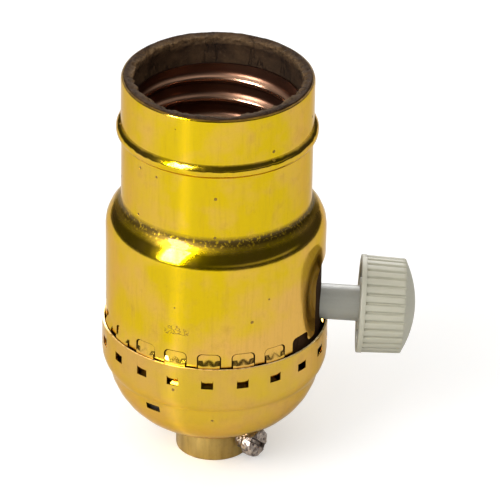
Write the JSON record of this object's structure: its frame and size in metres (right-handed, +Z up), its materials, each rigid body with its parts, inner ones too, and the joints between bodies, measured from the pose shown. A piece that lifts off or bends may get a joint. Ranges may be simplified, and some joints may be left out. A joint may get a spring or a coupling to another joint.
{
  "type": "lamp holder",
  "caption": "Medium screw lamp holder with a drawn brass shell, domed cap, threaded hub, brown fibre liner and a ribbed turn knob on its side.",
  "frame": {"origin": "centre of the hub's lower end, where the threaded nipple enters", "axes": "+Z up along the lamp's axis to the open mouth; +X towards the switch stem and knob; +Y makes it right-handed"},
  "size_m": [0.0507, 0.0366, 0.0682],
  "materials": {
    "shell_brass": "polished, slightly mottled and scratched drawn sheet",
    "cap_brass": "polished drawn sheet",
    "hub_brass": "turned, duller than the sheet",
    "set_screw_steel": "rough plated head",
    "fibre_sleeve": "dark brown pressed fibre with a rough cut edge",
    "lamp_thread_copper": "dark coppery rolled sheet",
    "switch_moulding": "black phenolic moulding",
    "insulator_card": "tan fibre card",
    "contact_brass": "stamped strip",
    "screw_brass": "turned",
    "screw_nickel": "nickel plated",
    "rivet_steel": "plain",
    "stem_moulding": "pale bluish grey, moulded",
    "rotor_moulding": "pale moulding",
    "spring_steel": "blued strip",
    "knob_moulding": "warm pale grey, moulded"
  },
  "bodies": {
    "housing": {"outer_shell": "shell_brass", "cap": "cap_brass", "cap_hub": "hub_brass", "set_screw": "set_screw_steel", "insulating_sleeve": "fibre_sleeve", "screw_shell": "lamp_thread_copper", "switch_base": "switch_moulding", "switch_cover": "switch_moulding", "contact_insulator": "insulator_card", "centre_contact": "contact_brass", "centre_rivet": "contact_brass", "lead_contact": "contact_brass", "line_contact": "contact_brass", "hot_terminal": "contact_brass", "neutral_terminal": "contact_brass", "brass_terminal_screw": "screw_brass", "silver_terminal_screw": "screw_nickel", "body_rivets": "rivet_steel", "detent_spring": "spring_steel"},
    "turn_key": {"knob": "knob_moulding", "switch_stem": "stem_moulding", "stem_clip": "rivet_steel", "rotor": "rotor_moulding", "rotor_contact": "contact_brass"}
  },
  "joints": [
    {"name": "knob_turn", "type": "hinge", "parent": "housing", "child": "turn_key", "pos_m": [0, 0, 0.0279], "axis": [0.9986, 0, -0.0523], "continuous": true}
  ]
}
